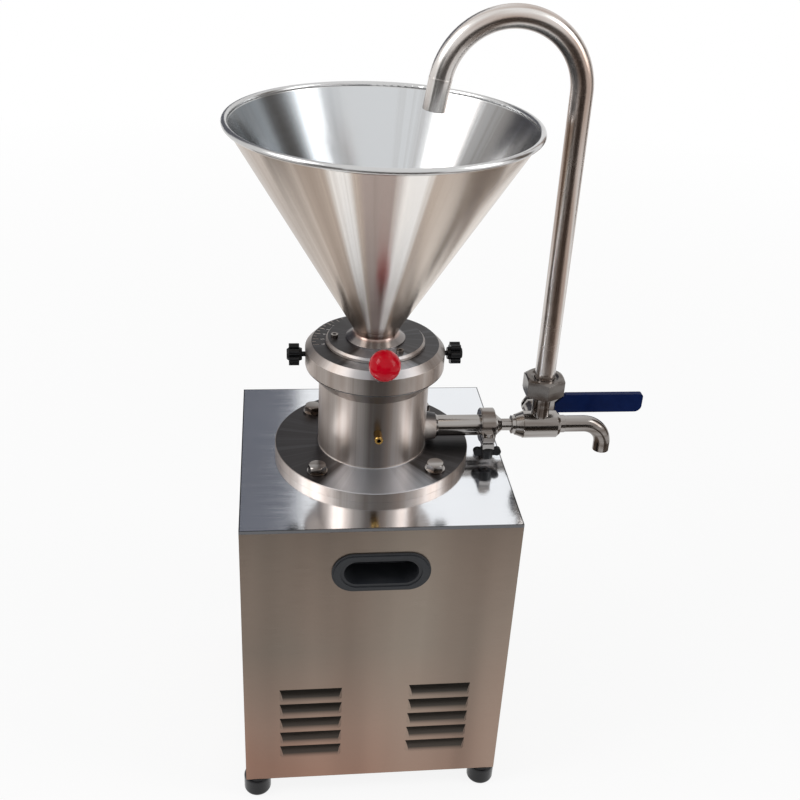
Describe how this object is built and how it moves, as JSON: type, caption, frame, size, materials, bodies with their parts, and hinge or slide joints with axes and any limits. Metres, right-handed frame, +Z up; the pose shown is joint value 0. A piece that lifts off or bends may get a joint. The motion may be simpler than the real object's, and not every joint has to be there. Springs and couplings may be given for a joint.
{
  "type": "colloid mill",
  "caption": "Vertical colloid mill: funnel hopper over a toothed rotor and stator on a square steel cabinet, with a three-way valve and a recirculation pipe back to the hopper.",
  "frame": {"origin": "middle of the bottom of the whole box, on the floor under the feet", "axes": "+Z up, -Y to the front with the carrying handle, +X to the outlet valve and its lever"},
  "size_m": [0.53, 0.344, 0.9525],
  "materials": {
    "sheet_steel": "brushed sheet",
    "plate_steel": "polished sheet",
    "turned_steel": "turned",
    "hopper_steel": "spun and brushed",
    "bright_steel": "bright",
    "pipe_steel": "polished",
    "frame_paint": "satin paint",
    "motor_paint": "satin paint",
    "core_iron": "laminated",
    "brass": "machined",
    "foot_rubber": "glossy",
    "handle_plastic": "moulded",
    "black_plastic": "moulded",
    "ball_red": "glossy",
    "grip_blue": "dipped sleeve",
    "seal_dark": "lapped",
    "seal_white": "moulded"
  },
  "bodies": {
    "base": {"base_frame": "frame_paint", "front_panel": "sheet_steel", "left_panel": "sheet_steel", "right_panel": "sheet_steel", "back_panel": "sheet_steel", "top_plate": "plate_steel", "rubber_feet": "foot_rubber", "front_handle": "handle_plastic", "panel_screws": "bright_steel", "cable_gland": "black_plastic", "switch_base": "handle_plastic", "motor_frame": "motor_paint", "motor_top_shield": "motor_paint", "motor_low_shield": "motor_paint", "motor_stator": "core_iron", "bearing_outer": "bright_steel", "fan_cowl": "motor_paint", "terminal_box": "motor_paint", "mill_body": "turned_steel", "flange_bolts": "bright_steel", "flange_washers": "bright_steel", "flange_nuts": "bright_steel", "seal_seat": "seal_dark", "drain_nozzle": "brass", "outlet_pipe": "bright_steel", "clamp_upper": "bright_steel", "clamp_lower": "bright_steel", "clamp_gasket": "seal_white", "clamp_bolt": "bright_steel", "reducer": "bright_steel", "valve_body": "bright_steel", "valve_seats": "seal_white", "stem_gland": "bright_steel", "spout": "pipe_steel"},
    "rotor": {"shaft": "bright_steel", "motor_rotor": "core_iron", "bearing_inner": "bright_steel", "fan": "black_plastic", "seal_head": "seal_dark", "rotor_cone": "bright_steel", "rotor_nut": "bright_steel"},
    "head": {"adjust_disc": "turned_steel", "hub_plate": "turned_steel", "hub_screws": "bright_steel", "stator_carrier": "turned_steel", "stator_ring": "bright_steel", "ball_rod": "bright_steel", "ball_knob": "ball_red", "hopper": "hopper_steel"},
    "knob_left": {"left_knob": "black_plastic"},
    "knob_right": {"right_knob": "black_plastic"},
    "valve_lever": {"valve_ball": "bright_steel", "valve_stem": "bright_steel", "lever": "bright_steel", "lever_grip": "grip_blue", "lever_nut": "bright_steel"},
    "nut": {"union_nut": "bright_steel"},
    "pipe": {"recirc_pipe": "pipe_steel"},
    "wing": {"wing_nut": "black_plastic"},
    "switch": {"switch_knob": "black_plastic"}
  },
  "joints": [
    {"name": "rotor_spin", "type": "hinge", "parent": "base", "child": "rotor", "pos_m": [-0.093, 0, 0.3], "axis": [0, 0, 1], "continuous": true},
    {"name": "disc_turn", "type": "hinge", "parent": "base", "child": "head", "pos_m": [-0.093, 0, 0.555], "axis": [0, 0, 1], "range_deg": [0, 120]},
    {"name": "knob_left_turn", "type": "hinge", "parent": "head", "child": "knob_left", "pos_m": [-0.1757, 0, 0.553], "axis": [-1, 0, 0], "range_deg": [0, 360]},
    {"name": "knob_right_turn", "type": "hinge", "parent": "head", "child": "knob_right", "pos_m": [-0.0103, 0, 0.553], "axis": [1, 0, 0], "range_deg": [0, 360]},
    {"name": "valve_turn", "type": "hinge", "parent": "base", "child": "valve_lever", "pos_m": [0.117, 0.049, 0.452], "axis": [0, 1, 0], "range_deg": [0, 90]},
    {"name": "union_nut_turn", "type": "hinge", "parent": "base", "child": "nut", "pos_m": [0.117, 0, 0.51], "axis": [0, 0, 1], "range_deg": [0, 360]},
    {"name": "pipe_swivel", "type": "hinge", "parent": "base", "child": "pipe", "pos_m": [0.117, 0, 0.52], "axis": [0, 0, 1], "range_deg": [-90, 90]},
    {"name": "wing_nut_turn", "type": "hinge", "parent": "base", "child": "wing", "pos_m": [0.0453, -0.039, 0.438], "axis": [0, 0, 1], "range_deg": [0, 360]},
    {"name": "switch_turn", "type": "hinge", "parent": "base", "child": "switch", "pos_m": [0.067, -0.06, 0.331], "axis": [1, 0, 0], "range_deg": [0, 90]}
  ]
}
